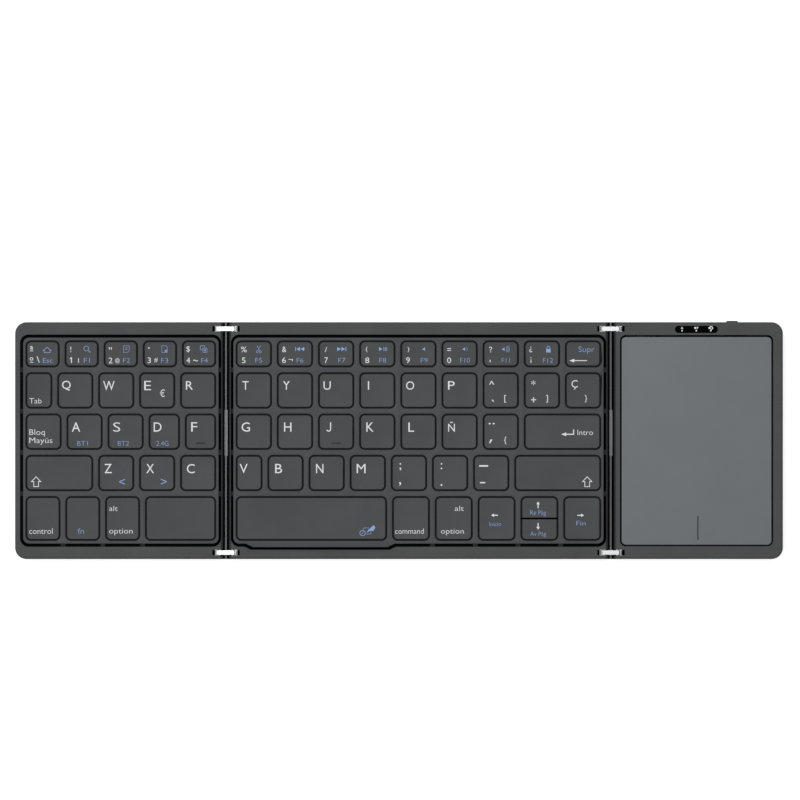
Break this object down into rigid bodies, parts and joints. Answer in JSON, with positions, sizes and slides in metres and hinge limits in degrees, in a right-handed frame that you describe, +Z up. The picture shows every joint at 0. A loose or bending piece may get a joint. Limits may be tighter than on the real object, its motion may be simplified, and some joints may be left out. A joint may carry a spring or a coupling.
{
  "type": "folding keyboard",
  "caption": "Three-panel folding wireless keyboard with a touchpad; both outer panels fold over the centre on double-pivot hinges.",
  "frame": {"origin": "centre of the open keyboard's footprint, on the surface that the feet stand on", "axes": "+X along the length towards the touchpad panel, +Y towards the rear edge with the switch, +Z up"},
  "size_m": [0.3072, 0.0953, 0.0076],
  "materials": {
    "frame_aluminium": "dark grey, fine bead blasted and anodised",
    "cover_plastic": "dark grey, fine grain",
    "plate_plastic": "dark grey, matte",
    "key_plastic": "dark grey, matte",
    "sheet_steel": "plain sheet",
    "membrane_film": "black polyester film",
    "dome_rubber": "silicone",
    "foot_rubber": "matte",
    "bright_metal": "nickel plated",
    "spine_metal": "grey, satin",
    "touchpad_glass": "blue-grey, very fine matte",
    "circuit_board": "green solder mask",
    "battery_pouch": "foil pouch",
    "switch_plastic": "black",
    "window_black": "gloss black"
  },
  "bodies": {
    "centre_panel": {"centre_frame": "frame_aluminium", "centre_cover": "cover_plastic", "centre_key_plate": "plate_plastic", "centre_support_plate": "sheet_steel", "centre_membrane": "membrane_film", "centre_domes": "dome_rubber", "centre_feet": "foot_rubber", "centre_screws": "bright_metal", "centre_magnets": "bright_metal"},
    "left_spine": {"left_spine": "spine_metal", "left_links": "bright_metal", "left_pins": "bright_metal", "left_ribbon": "membrane_film"},
    "left_panel": {"left_frame": "frame_aluminium", "left_cover": "cover_plastic", "left_key_plate": "plate_plastic", "left_support_plate": "sheet_steel", "left_membrane": "membrane_film", "left_domes": "dome_rubber", "left_feet": "foot_rubber", "left_screws": "bright_metal", "left_magnets": "bright_metal"},
    "right_spine": {"right_spine": "spine_metal", "right_links": "bright_metal", "right_pins": "bright_metal", "right_ribbon": "membrane_film"},
    "right_panel": {"right_frame": "frame_aluminium", "right_cover": "cover_plastic", "right_feet": "foot_rubber", "right_screws": "bright_metal", "right_magnets": "bright_metal", "battery": "battery_pouch", "main_board": "circuit_board", "usb_socket": "bright_metal", "indicator_window": "window_black", "indicator_board": "circuit_board", "switch_housing": "sheet_steel"},
    "touchpad": {"touchpad_plate": "touchpad_glass", "touchpad_board": "circuit_board", "touchpad_bracket": "sheet_steel", "click_switch": "switch_plastic"},
    "power_switch": {"switch_knob": "switch_plastic"},
    "left_keys_1": {"left_keys_1": "key_plastic"},
    "left_keys_2": {"left_keys_2": "key_plastic"},
    "left_keys_3": {"left_keys_3": "key_plastic"},
    "left_keys_4": {"left_keys_4": "key_plastic"},
    "left_keys_5": {"left_keys_5": "key_plastic"},
    "left_shift": {"left_shift": "key_plastic"},
    "left_space_key": {"left_space_key": "key_plastic"},
    "centre_keys_1": {"centre_keys_1": "key_plastic"},
    "centre_keys_2": {"centre_keys_2": "key_plastic"},
    "centre_keys_3": {"centre_keys_3": "key_plastic"},
    "centre_keys_4": {"centre_keys_4": "key_plastic"},
    "centre_keys_5": {"centre_keys_5": "key_plastic"},
    "backspace_key": {"backspace_key": "key_plastic"},
    "enter_key": {"enter_key": "key_plastic"},
    "right_shift": {"right_shift": "key_plastic"},
    "space_bar": {"space_bar": "key_plastic"},
    "up_key": {"up_key": "key_plastic"},
    "down_key": {"down_key": "key_plastic"}
  },
  "joints": [
    {"name": "left_spine_fold", "type": "hinge", "parent": "centre_panel", "child": "left_spine", "pos_m": [-0.0666, 0, 0.0052], "axis": [0, 1, 0], "range_deg": [0, 90], "deforming": ["left_ribbon"]},
    {"name": "left_panel_fold", "type": "hinge", "parent": "left_spine", "child": "left_panel", "pos_m": [-0.0718, 0, 0.0052], "axis": [0, 1, 0], "range_deg": [0, 90], "deforming": ["left_ribbon"]},
    {"name": "right_spine_fold", "type": "hinge", "parent": "centre_panel", "child": "right_spine", "pos_m": [0.0822, 0, 0.0052], "axis": [0, -1, 0], "range_deg": [0, 90], "deforming": ["right_ribbon"]},
    {"name": "right_panel_fold", "type": "hinge", "parent": "right_spine", "child": "right_panel", "pos_m": [0.0874, 0, 0.0052], "axis": [0, -1, 0], "range_deg": [0, 90], "deforming": ["right_ribbon"]},
    {"name": "left_keys_1_press", "type": "slide", "parent": "left_panel", "child": "left_keys_1", "axis": [0, 0, -1], "range_m": [0, 0.0012], "stiffness_N_per_m": 300, "springref_m": -0.004, "deforming": ["left_domes"]},
    {"name": "left_keys_2_press", "type": "slide", "parent": "left_panel", "child": "left_keys_2", "axis": [0, 0, -1], "range_m": [0, 0.0012], "stiffness_N_per_m": 300, "springref_m": -0.004, "deforming": ["left_domes"]},
    {"name": "left_keys_3_press", "type": "slide", "parent": "left_panel", "child": "left_keys_3", "axis": [0, 0, -1], "range_m": [0, 0.0012], "stiffness_N_per_m": 300, "springref_m": -0.004, "deforming": ["left_domes"]},
    {"name": "left_keys_4_press", "type": "slide", "parent": "left_panel", "child": "left_keys_4", "axis": [0, 0, -1], "range_m": [0, 0.0012], "stiffness_N_per_m": 180, "springref_m": -0.004, "deforming": ["left_domes"]},
    {"name": "left_keys_5_press", "type": "slide", "parent": "left_panel", "child": "left_keys_5", "axis": [0, 0, -1], "range_m": [0, 0.0012], "stiffness_N_per_m": 180, "springref_m": -0.004, "deforming": ["left_domes"]},
    {"name": "left_shift_press", "type": "slide", "parent": "left_panel", "child": "left_shift", "axis": [0, 0, -1], "range_m": [0, 0.0012], "stiffness_N_per_m": 60, "springref_m": -0.004, "deforming": ["left_domes"]},
    {"name": "left_space_key_press", "type": "slide", "parent": "left_panel", "child": "left_space_key", "axis": [0, 0, -1], "range_m": [0, 0.0012], "stiffness_N_per_m": 60, "springref_m": -0.004, "deforming": ["left_domes"]},
    {"name": "centre_keys_1_press", "type": "slide", "parent": "centre_panel", "child": "centre_keys_1", "axis": [0, 0, -1], "range_m": [0, 0.0012], "stiffness_N_per_m": 480, "springref_m": -0.004, "deforming": ["centre_domes"]},
    {"name": "centre_keys_2_press", "type": "slide", "parent": "centre_panel", "child": "centre_keys_2", "axis": [0, 0, -1], "range_m": [0, 0.0012], "stiffness_N_per_m": 540, "springref_m": -0.004, "deforming": ["centre_domes"]},
    {"name": "centre_keys_3_press", "type": "slide", "parent": "centre_panel", "child": "centre_keys_3", "axis": [0, 0, -1], "range_m": [0, 0.0012], "stiffness_N_per_m": 420, "springref_m": -0.004, "deforming": ["centre_domes"]},
    {"name": "centre_keys_4_press", "type": "slide", "parent": "centre_panel", "child": "centre_keys_4", "axis": [0, 0, -1], "range_m": [0, 0.0012], "stiffness_N_per_m": 420, "springref_m": -0.004, "deforming": ["centre_domes"]},
    {"name": "centre_keys_5_press", "type": "slide", "parent": "centre_panel", "child": "centre_keys_5", "axis": [0, 0, -1], "range_m": [0, 0.0012], "stiffness_N_per_m": 240, "springref_m": -0.004, "deforming": ["centre_domes"]},
    {"name": "backspace_key_press", "type": "slide", "parent": "centre_panel", "child": "backspace_key", "axis": [0, 0, -1], "range_m": [0, 0.0012], "stiffness_N_per_m": 60, "springref_m": -0.004, "deforming": ["centre_domes"]},
    {"name": "enter_key_press", "type": "slide", "parent": "centre_panel", "child": "enter_key", "axis": [0, 0, -1], "range_m": [0, 0.0012], "stiffness_N_per_m": 60, "springref_m": -0.004, "deforming": ["centre_domes"]},
    {"name": "right_shift_press", "type": "slide", "parent": "centre_panel", "child": "right_shift", "axis": [0, 0, -1], "range_m": [0, 0.0012], "stiffness_N_per_m": 60, "springref_m": -0.004, "deforming": ["centre_domes"]},
    {"name": "space_bar_press", "type": "slide", "parent": "centre_panel", "child": "space_bar", "axis": [0, 0, -1], "range_m": [0, 0.0012], "stiffness_N_per_m": 60, "springref_m": -0.004, "deforming": ["centre_domes"]},
    {"name": "up_key_press", "type": "slide", "parent": "centre_panel", "child": "up_key", "axis": [0, 0, -1], "range_m": [0, 0.0012], "stiffness_N_per_m": 60, "springref_m": -0.004, "deforming": ["centre_domes"]},
    {"name": "down_key_press", "type": "slide", "parent": "centre_panel", "child": "down_key", "axis": [0, 0, -1], "range_m": [0, 0.0012], "stiffness_N_per_m": 60, "springref_m": -0.004, "deforming": ["centre_domes"]},
    {"name": "touchpad_click", "type": "hinge", "parent": "right_panel", "child": "touchpad", "pos_m": [0.119, 0.0405, 0.00535], "axis": [1, 0, 0], "range_deg": [0, 0.35], "stiffness_Nm_per_rad": 3.3, "springref_deg": -0.52},
    {"name": "power_switch_slide", "type": "slide", "parent": "right_panel", "child": "power_switch", "axis": [1, 0, 0], "range_m": [0, 0.002]}
  ]
}
